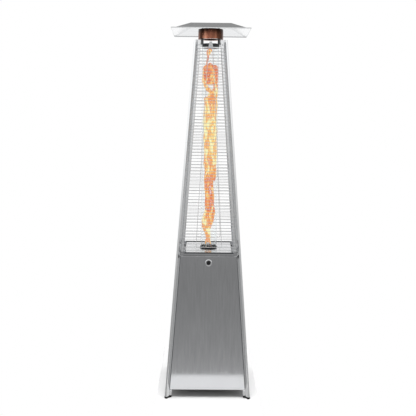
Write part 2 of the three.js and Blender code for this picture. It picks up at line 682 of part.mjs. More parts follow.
// ---- rear wheels --------------------------------------------------------------------------
const AXLE_Z = WHEEL_R + WHEEL_CLEARANCE;
const BRACKET_TOP = 48;
const ARM_X = 150;
const BRACKET_SHEET = 2;
const WHEEL_X = ARM_X + BRACKET_SHEET + GAP + WHEEL_WIDTH / 2;
const AXLE_HALF = WHEEL_X + WHEEL_WIDTH / 2 + GAP;
const AXLE_HEAD = AXLE_HALF + 4;
const alongX = (geometry) => geometry.rotateY(Math.PI / 2).translate(0, AXLE_Y, AXLE_Z);
const makeWheelBracket = () => {
  const back = corner(BRACKET_TOP) + FIN_BACK - GAP;
  const reach = back - 3.5;
  const bar = box(-reach, reach, back - BRACKET_SHEET, back, SHOE_TOP + 4, BRACKET_TOP);
  const arms = [-1, 1].map((s) =>
    box(s * ARM_X, s * (ARM_X + BRACKET_SHEET), back - 1, AXLE_Y + 11, 20, BRACKET_TOP - 2));
  return cut(join(bar, ...arms), alongX(rod(AXLE_R + GAP, -AXLE_HALF, AXLE_HALF)));
};
heater.add(named('wheel_bracket', makeWheelBracket(), FINISH.blackMetal));
heater.add(named('axle', alongX(turned([
  [0, -AXLE_HEAD], [7, -AXLE_HEAD], [7, -AXLE_HALF], [AXLE_R, -AXLE_HALF],
  [AXLE_R, AXLE_HALF], [7, AXLE_HALF], [7, AXLE_HEAD], [0, AXLE_HEAD],
], 16)), FINISH.wire));

// Wheel section: a hub and a tread joined by a thinner disc. Pairs run up the outside.
const makeWheel = () => {
  const half = WHEEL_WIDTH / 2;
  const disc = half - 4;
  const hubR = 12;
  const treadR = WHEEL_R - 9;
  const outer = [[treadR, half], [WHEEL_R - 2, half], [WHEEL_R, half - 3]];
  const upper = [...outer.reverse(), [treadR, disc], [hubR, disc], [hubR, half], [AXLE_R + GAP, half]];
  const lower = upper.map(([r, z]) => [r, -z]).reverse();
  return turned([...lower, ...upper, lower[0]], 24);
};
for (const [name, s] of [['wheel_left', -1], ['wheel_right', 1]]) {
  heater.add(named(name, alongX(makeWheel().translate(0, 0, s * WHEEL_X)), FINISH.tyre));
}

export default heater;
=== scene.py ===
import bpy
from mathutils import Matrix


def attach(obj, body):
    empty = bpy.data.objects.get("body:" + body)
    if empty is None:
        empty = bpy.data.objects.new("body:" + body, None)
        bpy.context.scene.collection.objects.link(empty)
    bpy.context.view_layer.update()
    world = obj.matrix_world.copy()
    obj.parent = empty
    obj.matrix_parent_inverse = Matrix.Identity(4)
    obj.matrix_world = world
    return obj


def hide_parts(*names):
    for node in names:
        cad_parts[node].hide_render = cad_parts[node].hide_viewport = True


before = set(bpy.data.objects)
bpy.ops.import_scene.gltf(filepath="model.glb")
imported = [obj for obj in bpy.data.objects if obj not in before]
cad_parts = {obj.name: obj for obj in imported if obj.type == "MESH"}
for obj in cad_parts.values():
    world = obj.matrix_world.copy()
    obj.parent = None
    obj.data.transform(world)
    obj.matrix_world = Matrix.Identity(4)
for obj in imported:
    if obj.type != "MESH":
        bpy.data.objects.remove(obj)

"""Looks of a pyramid gas patio heater, built round its CAD frame: folded stainless corner rails,
brushed cabinet sheets, round wire guards, a clear flame tube with its flame, a copper-coloured
flame screen, black knobs, shoes and wheels, and the screws that hold them together.
Shapes are worked out in millimetres and put into metres when a mesh is made."""

import math

import bmesh
import bpy
import numpy as np
from mathutils import Matrix, Vector

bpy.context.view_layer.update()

# ---- driving dimensions, in millimetres ---------------------------------------------------
MM = 0.001
CENTRE_Y = -21.5            # the heater's own centre line: the rear wheels shift the footprint
CORNER_AT_FLOOR = 250.0     # half-width to a rail's corner at the floor
TAPER = 0.0751              # how much every face leans in per unit of height
LEAN = math.atan(TAPER)

SHOE_TOP = 12.0
RAIL_SPLIT = 880.0
RAIL_TOP = 2145.0
PANEL_BOTTOM, PANEL_TOP = 51.5, 869.5
PANEL_FACE = -6.5           # cladding's outer face, from the corner line
PANEL_DEPTH = 5.5
PANEL_EDGE = 15.7
DOOR_EDGE = 16.5
SHEET = 1.5
DECK_Z = 888.5
GUARD_BOTTOM, GUARD_TOP = 903.0, 2098.0
GUARD_PITCH = 19.0
GUARD_WIRE_R = 1.4
GUARD_FACE = -10.4
GLASS_R, GLASS_WALL = 50.0, 2.5
GLASS_BOTTOM, GLASS_TOP = 893.3, 2130.0
COLLAR_R = 59.5
SCREEN_R = 75.0
SCREEN_BOTTOM, SCREEN_TOP = 2155.0, 2212.0
CONTROL_Z = 812.0
KNOB_X, IGNITER_X = -32.0, 34.0     # on the rear face, whose own x runs the other way
LATCH_Z = 829.5
WHEEL_R, WHEEL_WIDTH, WHEEL_X = 30.0, 22.0, 163.3
AXLE_Y, AXLE_Z = 276.0, 33.0

FIXED = "cabinet_and_tower"
CORNERS = {
    "front_left": (-1, -1), "front_right": (1, -1), "rear_right": (1, 1), "rear_left": (-1, 1),
}
SIDES = ("front", "right", "rear", "left")


def corner(z):
    """Half-width from the centre line to the corner line at a height."""
    return CORNER_AT_FLOOR - TAPER * z


def slope(z):
    """Distance up a leaning face at a height."""
    return z / math.cos(LEAN)


def on_face(side, x, v, w):
    """Points on a leaning face: x across, v up the slope, w outwards from the corner line; the
    face leans in by LEAN and is turned side quarter turns about the centre line."""
    x, v, w = np.broadcast_arrays(np.asarray(x, float), v, w)
    forward = v * math.sin(LEAN) - w * math.cos(LEAN) - CORNER_AT_FLOOR
    up = v * math.cos(LEAN) + w * math.sin(LEAN)
    c, s = round(math.cos(side * math.pi / 2)), round(math.sin(side * math.pi / 2))
    return np.stack([c * x - s * forward, s * x + c * forward + CENTRE_Y, up], -1)


def upright(points):
    """Points given about the heater's own centre line, in the row frame."""
    return np.asarray(points, float) + [0, CENTRE_Y, 0]


# ---- surfaces -----------------------------------------------------------------------------
def rounded(corners, radius, steps=4):
    """A closed outline through 2-D corners, each replaced by an arc of that radius that touches
    both of its edges: the arc's centre lies on the bisector, radius / sin(half angle) away."""
    at = np.asarray(corners, float)
    radius = np.broadcast_to(np.asarray(radius, float), len(at))[:, None]
    back, on = np.roll(at, 1, 0) - at, np.roll(at, -1, 0) - at
    back /= np.linalg.norm(back, axis=1, keepdims=True)
    on /= np.linalg.norm(on, axis=1, keepdims=True)
    half = np.arccos(np.clip((back * on).sum(1, keepdims=True), -1, 1)) / 2
    bisector = (back + on) / np.linalg.norm(back + on, axis=1, keepdims=True)
    centre = at + bisector * radius / np.sin(half)
    start = at + back * radius / np.tan(half) - centre
    end = at + on * radius / np.tan(half) - centre
    arc = np.pi - 2 * half
    t = np.linspace(0, 1, steps + 1)[None, :, None]
    a = np.maximum(arc, 1e-6)[:, None]
    curve = (np.sin((1 - t) * a) * start[:, None] + np.sin(t * a) * end[:, None]) / np.sin(a)
    return (centre[:, None] + curve).reshape(-1, 2)


def loft(rings, loop=False):
    """Quads between the neighbouring rings of an (m, n, 3) array, each ring closed on itself.
    loop joins the last ring to the first; otherwise both end rings are filled."""
    rings = np.asarray(rings, float)
    m, n = rings.shape[:2]
    i = np.arange(m if loop else m - 1)[:, None]
    j = np.arange(n)[None, :]
    up, along = (i + 1) % m, (j + 1) % n
    quads = np.stack([i * n + j, i * n + along, up * n + along, up * n + j], -1)
    faces = quads.reshape(-1, 4).tolist()
    if not loop:
        faces += [list(range(n))[::-1], list(range((m - 1) * n, m * n))]
    return rings.reshape(-1, 3), faces


def lathe(profile, steps=64, loop=False, ripple=None):
    """A turned surface about +Z: each (radius, height) pair makes a circle. ripple is a
    function of the angle and pair number that multiplies the radius."""
    profile = np.asarray(profile, float)
    angle = np.arange(steps) * 2 * np.pi / steps
    r = np.repeat(profile[:, :1], steps, 1)
    if ripple is not None:
        r = r * ripple(angle[None, :], np.arange(len(profile))[:, None])
    z = np.repeat(profile[:, 1:], steps, 1)
    return loft(np.stack([r * np.cos(angle), r * np.sin(angle), z], -1), loop)


def tubes(paths, radius, across, sides=8):
    """Round wires of one radius along (k, m, 3) paths: each ring lies in the plane of the
    direction across, which no path runs along, and of its cross product with the path."""
    paths = np.asarray(paths, float)
    along = np.gradient(paths, axis=1)
    along /= np.linalg.norm(along, axis=-1, keepdims=True)
    first = across - (along @ across)[..., None] * along
    first /= np.linalg.norm(first, axis=-1, keepdims=True)
    second = np.cross(along, first)
    turn = np.arange(sides) * 2 * np.pi / sides
    offset = np.cos(turn)[:, None] * first[..., None, :] + np.sin(turn)[:, None] * second[..., None, :]
    return joined([loft(rings) for rings in paths[..., None, :] + radius * offset])


def joined(shapes):
    """Several shapes as one: their points in a row, with each one's faces counted on."""
    points, faces, count = [], [], 0
    for shape_points, shape_faces in shapes:
        points.append(shape_points)
        faces += [[count + i for i in face] for face in shape_faces]
        count += len(shape_points)
    return np.concatenate(points), faces


def moved(shape, place):
    """A shape with its points put through a function."""
    points, faces = shape
    return place(points), faces


def on_face_at(side, x, v):
    """Puts a shape made about +Z onto a leaning face, its +Z pointing outwards at (x, v)."""
    return lambda p: on_face(side, x + p[:, 0], v + p[:, 1], p[:, 2])


def slab(outline, low, high, edge=0.6, place=None):
    """A plate between two heights whose rim is rounded: rings of a (n, 2) outline drawn in by
    edge at the two faces. The outline is drawn in towards its middle."""
    outline = np.asarray(outline, float)
    middle = (outline.min(0) + outline.max(0)) / 2
    size = (outline.max(0) - outline.min(0)) / 2
    drawn = middle + (outline - middle) * (1 - edge / size)
    rows = [(drawn, low), (outline, low + edge), (outline, high - edge), (drawn, high)]
    shape = loft([np.c_[o, np.full(len(o), z)] for o, z in rows])
    return moved(shape, place) if place else shape


# ---- materials ----------------------------------------------------------------------------
def linear(colour):
    """An sRGB hex value as a linear colour."""
    channels = np.array([int(colour[i:i + 2], 16) for i in (0, 2, 4)]) / 255
    bent = np.where(channels <= 0.04045, channels / 12.92, ((channels + 0.055) / 1.055) ** 2.4)
    return (*bent.tolist(), 1.0)


def grey(level):
    """A grey of that linear brightness."""
    return (level, level, level, 1.0)


def add(tree, kind, inputs=None, stops=(), **settings):
    """Adds a node with its settings; an input is a value, or a socket to link from. stops are a
    ramp's (position, linear colour) pairs."""
    node = tree.nodes.new(kind)
    for name, value in settings.items():
        setattr(node, name, value)
    for key, value in (inputs or {}).items():
        if isinstance(value, bpy.types.NodeSocket):
            tree.links.new(value, node.inputs[key])
        else:
            node.inputs[key].default_value = value
    if stops:
        elements = node.color_ramp.elements
        while len(elements) < len(stops):
            elements.new(0.5)
        for element, (position, colour) in zip(elements, stops):
            element.position, element.color = position, colour
    return node


def new_material(name, **shader):
    """A material with its Principled shader, the shader's fixed values and object coordinates."""
    material = bpy.data.materials.new(name)
    material.use_nodes = True
    tree = material.node_tree
    principled = tree.nodes["Principled BSDF"]
    for key, value in shader.items():
        principled.inputs[key.replace("_", " ")].default_value = value
    coordinates = add(tree, "ShaderNodeTexCoord").outputs["Object"]
    return material, tree, principled, coordinates


# Most of a noise lies between these two values, so a range mapped from them is used in full.
NOISE_SPAN = {"From Min": 0.3, "From Max": 0.7}
# Sizes of the patterns in millimetres, and how far they change a roughness.
STREAK_ASPECT = 0.012               # a brush streak's width over its length
MARK_SIZE, MARK_ROUGHNESS = 200.0, 0.02     # broad handling marks on metal
PATCH_SIZE = 55.6                   # broad patches of another tone on moulded surfaces
GRIT_ROUGHNESS = 0.06               # how much the fine grit of a moulding changes it
GRAIN_RELIEF, GRIT_RELIEF = 0.6, 0.4    # height of the bump at its full strength
RAGGED_NOISE_SIZE = 16.7                   # ragged edges of the painted reflection bands and painted shade on copper
RAGGED_NOISE_ASPECT = 0.15                 # their width over their height
DRAWN_GLASS = (16.7, 16.7, 500.0)   # unevenness round the tube and along it
FLAME_TONGUE = (25.0, 25.0, 77.0)   # a tongue of flame across and upwards


def grained_metal(name, dark, light, roughness, grain, grain_spacing, bump=0.04, unevenness=0.04):
    """Rolled or drawn metal with a brush grain: a noise squeezed across the grain and drawn out
    along it, so that streaks are grain_spacing apart, and a broad second noise for the slightly
    uneven handling marks. grain is the axis that the streaks run along."""
    material, tree, shader, at = new_material(name, Metallic=1.0)
    scale = [0.5 / (grain_spacing * MM)] * 3
    scale["xyz".index(grain)] *= STREAK_ASPECT
    squeezed = add(tree, "ShaderNodeMapping", {"Vector": at, "Scale": scale})
    streaks = add(tree, "ShaderNodeTexNoise", {
        "Vector": squeezed.outputs["Vector"], "Scale": 1.0, "Detail": 4.0, "Roughness": 0.6,
    }).outputs["Fac"]
    marks = add(tree, "ShaderNodeTexNoise", {
        "Vector": at, "Scale": 1 / (MARK_SIZE * MM), "Detail": 3.0, "Roughness": 0.5,
    }).outputs["Fac"]
    lightness = add(tree, "ShaderNodeMapRange", {"Value": streaks, **NOISE_SPAN})
    tone = add(tree, "ShaderNodeMix", {
        "Factor": lightness.outputs["Result"], "A": linear(dark), "B": linear(light),
    }, data_type="RGBA")
    tree.links.new(tone.outputs["Result"], shader.inputs["Base Color"])
    along_grain = add(tree, "ShaderNodeMapRange", {
        "Value": streaks, **NOISE_SPAN, "To Min": roughness - unevenness, "To Max": roughness + unevenness,
    })
    in_marks = add(tree, "ShaderNodeMapRange", {
        "Value": marks, **NOISE_SPAN, "To Min": -MARK_ROUGHNESS, "To Max": MARK_ROUGHNESS,
    })
    rough = add(tree, "ShaderNodeMath", {
        0: along_grain.outputs["Result"], 1: in_marks.outputs["Result"],
    }, operation="ADD")
    tree.links.new(rough.outputs["Value"], shader.inputs["Roughness"])
    relief = add(tree, "ShaderNodeBump", {
        "Height": streaks, "Strength": bump, "Distance": GRAIN_RELIEF * MM,
    })
    tree.links.new(relief.outputs["Normal"], shader.inputs["Normal"])
    return material


def moulded(name, dark, light, roughness, grit, bump=0.15, **shader):
    """Cast, moulded or powder-coated surface: a fine noise, grit millimetres across, gives its
    relief and roughness, and a broad one its slight change of tone."""
    material, tree, principled, at = new_material(name, **shader)
    fine = add(tree, "ShaderNodeTexNoise", {
        "Vector": at, "Scale": 1 / (grit * MM), "Detail": 2.0, "Roughness": 0.5,
    }).outputs["Fac"]
    broad = add(tree, "ShaderNodeTexNoise", {
        "Vector": at, "Scale": 1 / (PATCH_SIZE * MM), "Detail": 3.0, "Roughness": 0.55,
    }).outputs["Fac"]
    lightness = add(tree, "ShaderNodeMapRange", {"Value": broad, **NOISE_SPAN})
    tone = add(tree, "ShaderNodeMix", {
        "Factor": lightness.outputs["Result"], "A": linear(dark), "B": linear(light),
    }, data_type="RGBA")
    tree.links.new(tone.outputs["Result"], principled.inputs["Base Color"])
    rough = add(tree, "ShaderNodeMapRange", {
        "Value": fine, **NOISE_SPAN, "To Min": roughness - GRIT_ROUGHNESS,
        "To Max": roughness + GRIT_ROUGHNESS,
    })
    tree.links.new(rough.outputs["Result"], principled.inputs["Roughness"])
    relief = add(tree, "ShaderNodeBump", {
        "Height": fine, "Strength": bump, "Distance": GRIT_RELIEF * MM,
    })
    tree.links.new(relief.outputs["Normal"], principled.inputs["Normal"])
    return material


def copper_with_painted_light():
    """Polished copper-coloured sheet with painted light: painted shade, nearly black, towards its top
    under the hood, and brown and bright copper bands round it by angle, which are painted reflections and
    highlights over its heat tinting; a noise drawn out upwards makes their edges uneven."""
    # painted shade under the hood: the screen darkens between these two heights
    hood_shade_low, hood_shade_high = 2182.0, 2206.0
    # painted reflections and highlights: light and dark copper bands by angle round the sheet, over its
    # heat tinting
    bands = [(0.0, "7a4e3c"), (0.2, "b06c50"), (0.36, "4a3025"), (0.395, "6a4232"), (0.42, "f2ac8e"),
             (0.44, "e09a7c"), (0.46, "a06450"), (0.49, "b87860"), (0.53, "905c48"), (0.56, "b87a60"),
             (0.59, "6c4636"), (0.66, "3c2a21"), (0.82, "a4664c"), (1.0, "7a4e3c")]
    material, tree, shader, at = new_material("copper_with_painted_light", Metallic=1.0)
    place = add(tree, "ShaderNodeSeparateXYZ", {0: at}).outputs
    from_centre = add(tree, "ShaderNodeMath", {0: CENTRE_Y * MM, 1: place["Y"]}, operation="SUBTRACT")
    turn = add(tree, "ShaderNodeMath", {0: place["X"], 1: from_centre.outputs[0]}, operation="ARCTAN2")
    drawn_up = add(tree, "ShaderNodeMapping", {"Vector": at, "Scale": (1, 1, RAGGED_NOISE_ASPECT)})
    ragged_noise = add(tree, "ShaderNodeTexNoise", {
        "Vector": drawn_up.outputs["Vector"], "Scale": 1 / (RAGGED_NOISE_SIZE * MM), "Detail": 3.0,
        "Roughness": 0.6,
    }).outputs["Fac"]
    across = add(tree, "ShaderNodeMapRange", {
        "Value": turn.outputs[0], "From Min": -math.pi, "From Max": math.pi,
    })
    wander = add(tree, "ShaderNodeMapRange", {
        "Value": ragged_noise, **NOISE_SPAN, "To Min": -0.012, "To Max": 0.012,
    })
    wandering = add(tree, "ShaderNodeMath", {
        0: across.outputs["Result"], 1: wander.outputs["Result"],
    }, operation="ADD")
    banded = add(tree, "ShaderNodeValToRGB", {"Fac": wandering.outputs[0]},
                 stops=[(position, linear(colour)) for position, colour in bands])
    # painted shade under the hood: darker towards the top, made patchy by the noise
    shade_under_hood = add(tree, "ShaderNodeMapRange", {
        "Value": place["Z"], "From Min": hood_shade_low * MM, "From Max": hood_shade_high * MM,
    }, interpolation_type="SMOOTHSTEP")
    patchy = add(tree, "ShaderNodeMapRange", {"Value": ragged_noise, **NOISE_SPAN, "To Min": 0.8, "To Max": 1.0})
    ragged = add(tree, "ShaderNodeMath", {
        0: shade_under_hood.outputs["Result"], 1: patchy.outputs["Result"],
    }, operation="MULTIPLY")
    bands_and_hood_shade = add(tree, "ShaderNodeMix", {
        "Factor": ragged.outputs[0], "A": banded.outputs["Color"], "B": linear("30221b"),
    }, data_type="RGBA")
    tree.links.new(bands_and_hood_shade.outputs["Result"], shader.inputs["Base Color"])
    rough = add(tree, "ShaderNodeMapRange", {"Value": ragged_noise, **NOISE_SPAN, "To Min": 0.3, "To Max": 0.2})
    tree.links.new(rough.outputs["Result"], shader.inputs["Roughness"])
    return material


def clear_glass():
    """Borosilicate tube glass: clear, smooth and colourless, with the faint unevenness of a drawn
    tube in its roughness."""
    material, tree, shader, at = new_material(
        "borosilicate_glass", IOR=1.47, Transmission_Weight=1.0, Base_Color=linear("fbfdfd"),
    )
    drawn = add(tree, "ShaderNodeMapping", {
        "Vector": at, "Scale": [1 / (size * MM) for size in DRAWN_GLASS],
    })
    film = add(tree, "ShaderNodeTexNoise", {"Vector": drawn.outputs["Vector"], "Scale": 1.0})
    rough = add(tree, "ShaderNodeMapRange", {
        "Value": film.outputs["Fac"], **NOISE_SPAN, "To Min": 0.0, "To Max": 0.03,
    })
    tree.links.new(rough.outputs["Result"], shader.inputs["Roughness"])
    return material


def burning_gas():
    """Yellow gas flame: light only. A noise drawn out upwards tears it into tongues with gaps
    between them, pale yellow where the gas is thick and red-orange at its ragged edges; a curve
    over the height makes it redder near the top of the tube and golden near the burner."""
    foot, tip = 900.0, 2100.0
    warmth = [(0.0, 0.57), (0.1, 0.54), (0.2, 0.44), (0.35, 0.48), (0.5, 0.6), (0.72, 0.56),
              (0.82, 0.45), (0.92, 0.42), (0.96, 0.34), (1.0, 0.34)]
    hues = [(0.3, "d4532c"), (0.42, "ee8048"), (0.5, "fba75c"), (0.58, "ffcf74"), (0.68, "fffbc0")]
    material = bpy.data.materials.new("burning_gas")
    material.use_nodes = True
    tree = material.node_tree
    tree.nodes.remove(tree.nodes["Principled BSDF"])
    at = add(tree, "ShaderNodeTexCoord").outputs["Object"]
    tall = add(tree, "ShaderNodeMapping", {
        "Vector": at, "Scale": [1 / (size * MM) for size in FLAME_TONGUE],
    })
    tongues = add(tree, "ShaderNodeTexNoise", {
        "Vector": tall.outputs["Vector"], "Scale": 1.0, "Detail": 4.0, "Roughness": 0.6,
        "Distortion": 0.9,
    }).outputs["Fac"]
    height = add(tree, "ShaderNodeMapRange", {
        "Value": add(tree, "ShaderNodeSeparateXYZ", {0: at}).outputs["Z"],
        "From Min": foot * MM, "From Max": tip * MM,
    })
    warm = add(tree, "ShaderNodeValToRGB", {"Fac": height.outputs["Result"]},
               stops=[(position, grey(level)) for position, level in warmth])
    hotter = add(tree, "ShaderNodeMath", {0: warm.outputs["Color"], 1: 0.5}, operation="SUBTRACT")
    thick = add(tree, "ShaderNodeMapRange", {"Value": tongues, **NOISE_SPAN, "To Min": 0.2, "To Max": 0.8})
    heat = add(tree, "ShaderNodeMath", {
        0: thick.outputs["Result"], 1: hotter.outputs[0],
    }, operation="ADD")
    hue = add(tree, "ShaderNodeValToRGB", {"Fac": heat.outputs[0]},
              stops=[(position, linear(colour)) for position, colour in hues])
    glow = add(tree, "ShaderNodeEmission", {"Color": hue.outputs["Color"], "Strength": 1.0})
    gone = add(tree, "ShaderNodeBsdfTransparent")
    body = add(tree, "ShaderNodeMapRange", {
        "Value": tongues, "From Min": 0.36, "From Max": 0.46, "To Min": 0.1, "To Max": 0.95,
    })
    torn = add(tree, "ShaderNodeMixShader", {
        "Fac": body.outputs["Result"], 1: gone.outputs["BSDF"], 2: glow.outputs["Emission"],
    })
    tree.links.new(torn.outputs["Shader"], tree.nodes["Material Output"].inputs["Surface"])
    return material


# Real brush grain is 0.1 to 0.3 mm apart, too fine to show, so its streaks are drawn coarser. The
# steels' grain is so shallow that it hardly bends a reflection: a soft mirror, faintly streaked.
FINE_GRAIN = 0.01
# Brushed cabinet sheet: a dark soft mirror with faint upright streaks.
PANEL_STEEL = grained_metal("brushed_stainless_sheet", "c2c3c5", "c8c9cb", 0.1, "z", 5.0,
                            FINE_GRAIN, unevenness=0.03)
# Folded rail: the same steel painted brighter than the cabinet sheet, a lit copy, so that every facet
# shows as one clean band.
RAIL_STEEL = grained_metal("brushed_stainless_rail", "ebeced", "f1f2f3", 0.12, "z", 3.0, FINE_GRAIN)
# Brushed hood sheet: duller, so that it takes the even tone of what lies beneath and above it.
HOOD_STEEL = grained_metal("brushed_stainless_hood", "dcddde", "e6e7e8", 0.22, "x", 5.0, FINE_GRAIN)
# Drawn wire and small turned parts: bright with soft lengthwise glints.
WIRE_STEEL = grained_metal("drawn_stainless_wire", "d0d1d3", "dcddde", 0.2, "z", 2.0, FINE_GRAIN)
# Brushed deck pan: pale, with streaks from front to rear.
DECK_STEEL = grained_metal("brushed_stainless_deck", "cbccce", "d6d7d8", 0.2, "y", 4.0, FINE_GRAIN)
# Turned brass: yellow, with a satin sheen.
BRASS = grained_metal("turned_brass", "a88a45", "c2a45c", 0.3, "z", 1.5)
# Drawn copper pipe: pinkish brown, slightly dull.
COPPER_PIPE = grained_metal("drawn_copper_pipe", "a8674a", "c48464", 0.28, "y", 2.0)
# Copper screen with painted reflections in bands round it and painted shade near its top.
COPPER = copper_with_painted_light()
GLASS = clear_glass()
FLAME = burning_gas()
# Sprayed satin enamels: near black and dark grey, with a slight orange-peel relief.
BLACK_ENAMEL = moulded("satin_black_enamel", "24262a", "2f3236", 0.42, 1.2, bump=0.08)
COLLAR_ENAMEL = moulded("grey_heatproof_enamel", "3c3f42", "4a4d50", 0.45, 1.2, bump=0.08)
# Moulded polyamide: almost no sheen, so knobs and shoes stay deep black.
BLACK_PLASTIC = moulded("black_moulded_plastic", "0c0c0d", "131415", 0.5, 0.9,
                        Specular_IOR_Level=0.25)
# Glossier moulded button.
RED_PLASTIC = moulded("red_moulded_plastic", "8e1c18", "a82620", 0.3, 0.9, bump=0.05)
# Moulded silicone: matt brick red.
SILICONE = moulded("heatproof_silicone", "8a3a2a", "9c4a36", 0.7, 1.0)
# Fired ceramic: off-white, half matt.
CERAMIC = moulded("fired_ceramic", "d8d3c6", "e8e4da", 0.4, 0.8, bump=0.05)
# Moulded rubber: matt, with a fine grit.
WHEEL_RUBBER = moulded("wheel_rubber", "191919", "242424", 0.75, 1.4, bump=0.25)


# ---- making pieces ------------------------------------------------------------------------
def shade(mesh, limit):
    """Sets each face corner's normal to the area-weighted sum of the faces round its point whose
    normals turn from its own face's by less than the angle with this cosine, so that broad flats
    stay flat up to their bends."""
    faces = mesh.polygons
    normals = np.array([face.normal for face in faces])
    weighted = normals * np.array([[face.area] for face in faces])
    around = [[] for _ in mesh.vertices]
    for face in faces:
        for point in face.vertices:
            around[point].append(face.index)
    corners = []
    for face in faces:
        for point in face.vertices:
            near = np.array(around[point])
            near = near[normals[near] @ normals[face.index] > limit]
            corners.append(weighted[near].sum(0))
    mesh.polygons.foreach_set("use_smooth", np.ones(len(faces), bool))
    corners = np.array(corners)
    mesh.normals_split_custom_set((corners / np.linalg.norm(corners, axis=1, keepdims=True)).tolist())


def piece(name, shape, material, body=FIXED, replaces=(), crease=32):
    """One visible piece: its points in metres, doubles merged, faces turned outwards, smooth
    except where its faces meet at more than crease degrees."""
    points, faces = shape
    mesh = bpy.data.meshes.new(name)
    mesh.from_pydata((np.asarray(points) * MM).tolist(), [], faces)
    work = bmesh.new()
    work.from_mesh(mesh)
    bmesh.ops.remove_doubles(work, verts=work.verts, dist=1e-6)
    bmesh.ops.recalc_face_normals(work, faces=work.faces)
    work.to_mesh(mesh)
    work.free()
    shade(mesh, math.cos(math.radians(crease)))
    mesh.materials.append(material)
    made = bpy.data.objects.new(name, mesh)
    bpy.context.scene.collection.objects.link(made)
    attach(made, body)
    if replaces:
        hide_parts(*replaces)
    return made


def paint(material, *nodes):
    """Gives CAD nodes that keep their shape their finish."""
    for node in nodes:
        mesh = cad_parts[node].data
        mesh.materials.clear()
        mesh.materials.append(material)


# ---- corner rails and shoes ---------------------------------------------------------------
def rail_outline():
    """A rail's folded section: fins, cheeks and chamfered nose on the outside, and the same
    fold one sheet thickness inside it, with every bend rounded."""
    half = [(-30.0, -14.0), (-14.5, -14.0), (-14.5, -5.5), (0.0, 11.5)]
    inner = [(-1.0, 9.8), (-13.1, -4.9), (-13.1, -15.2), (-30.0, -15.2)]
    outside = half + [(y, x) for x, y in half[::-1]]
    inside = [(y, x) for x, y in inner[::-1]] + inner
    radii = [0.5, 2.0, 1.2, 2.4, 2.4, 1.2, 2.0, 0.5, 0.5, 1.0, 1.0, 1.2, 1.2, 1.0, 1.0, 0.5]
    return rounded(outside + inside, radii)


def along_corner(outline, z_rows, sx, sy):
    """Rings of a corner's own outline at several heights, following the corner as it leans in."""
    rings = []
    for z, grow in z_rows:
        middle = np.array([-9.0, -9.0])
        drawn = middle + (outline - middle) * grow
        x = sx * (corner(z) + drawn[:, 0])
        y = sy * (corner(z) + drawn[:, 1]) + CENTRE_Y
        rings.append(np.c_[x, y, np.full(len(x), z)])
    return loft(rings)


def make_rails():
    """Lower and upper corner rails, spliced with a hair-wide gap at the deck."""
    outline = rail_outline()
    for place, (sx, sy) in CORNERS.items():
        for level, low, high in (("lower", SHOE_TOP, RAIL_SPLIT - 0.3), ("upper", RAIL_SPLIT, RAIL_TOP)):
            name = f"{level}_rail_{place}"
            shape = along_corner(outline, [(low, 1.0), (high, 1.0)], sx, sy)
            piece(f"folded_{name}", shape, RAIL_STEEL, replaces=[name], crease=25)


def make_shoes():
    """Moulded shoes: rings that swell from a rounded sole to the sides and draw in at the top."""
    half = [(-31.5, -16.7), (-31.5, -12.5), (-16.0, -5.5), (0.0, 13.0)]
    outline = rounded(half + [(y, x) for x, y in half[::-1]], [0.8, 1.5, 2.0, 4.0, 4.0, 2.0, 1.5, 0.8])
    rows = [(0.0, 0.8), (0.4, 0.88), (1.4, 0.95), (3.2, 1.0), (11.0, 1.0), (11.7, 0.975)]
    for place, (sx, sy) in CORNERS.items():
        shape = along_corner(outline, rows, sx, sy)
        piece(f"rail_shoe_{place}", shape, BLACK_PLASTIC, replaces=[f"shoe_{place}"])


# ---- cabinet ------------------------------------------------------------------------------
def tray_ring(bottom, top, edge, inset, radius):
    """One closed ring of a leaning tray: a trapezium between two heights with rounded corners,
    drawn in by inset, as (x, v) pairs."""
    low_z, high_z = bottom + inset, top - inset
    low, high = corner(low_z) - edge - inset, corner(high_z) - edge - inset
    corners = [(-low, slope(low_z)), (low, slope(low_z)), (high, slope(high_z)), (-high, slope(high_z))]
    return rounded(corners, max(radius - inset, 0.3), 3)


def tray(side, bottom, top, edge, face, depth, bend=2.2, sheet=SHEET):
    """A sheet whose four edges roll over by a quarter circle and fold back: rings run from the
    flat face over the bend, down the side, round its raw edge and back along the inside."""
    quarter = np.linspace(0, np.pi / 2, 6)
    outer = [(bend * (1 - math.sin(a)), face - bend * (1 - math.cos(a))) for a in quarter]
    inner = [(sheet, face - depth), (sheet, face - bend), (bend, face - sheet)]
    rings = []
    for inset, w in [*outer, (0.0, face - depth + 0.3), (0.3, face - depth), *inner]:
        xv = tray_ring(bottom, top, edge, inset, 3.0)
        rings.append(on_face(side, xv[:, 0], xv[:, 1], w))
    return loft(rings)


def make_panels():
    """Front door and both side sheets, each a shallow tray."""
    for side, name, edge in ((0, "front_door", DOOR_EDGE), (1, "right_panel", PANEL_EDGE),
                             (3, "left_panel", PANEL_EDGE)):
        body = "door" if side == 0 else FIXED
        shape = tray(side, PANEL_BOTTOM, PANEL_TOP, edge, PANEL_FACE, PANEL_DEPTH)
        piece(f"brushed_{name}", shape, PANEL_STEEL, body, [name], crease=40)


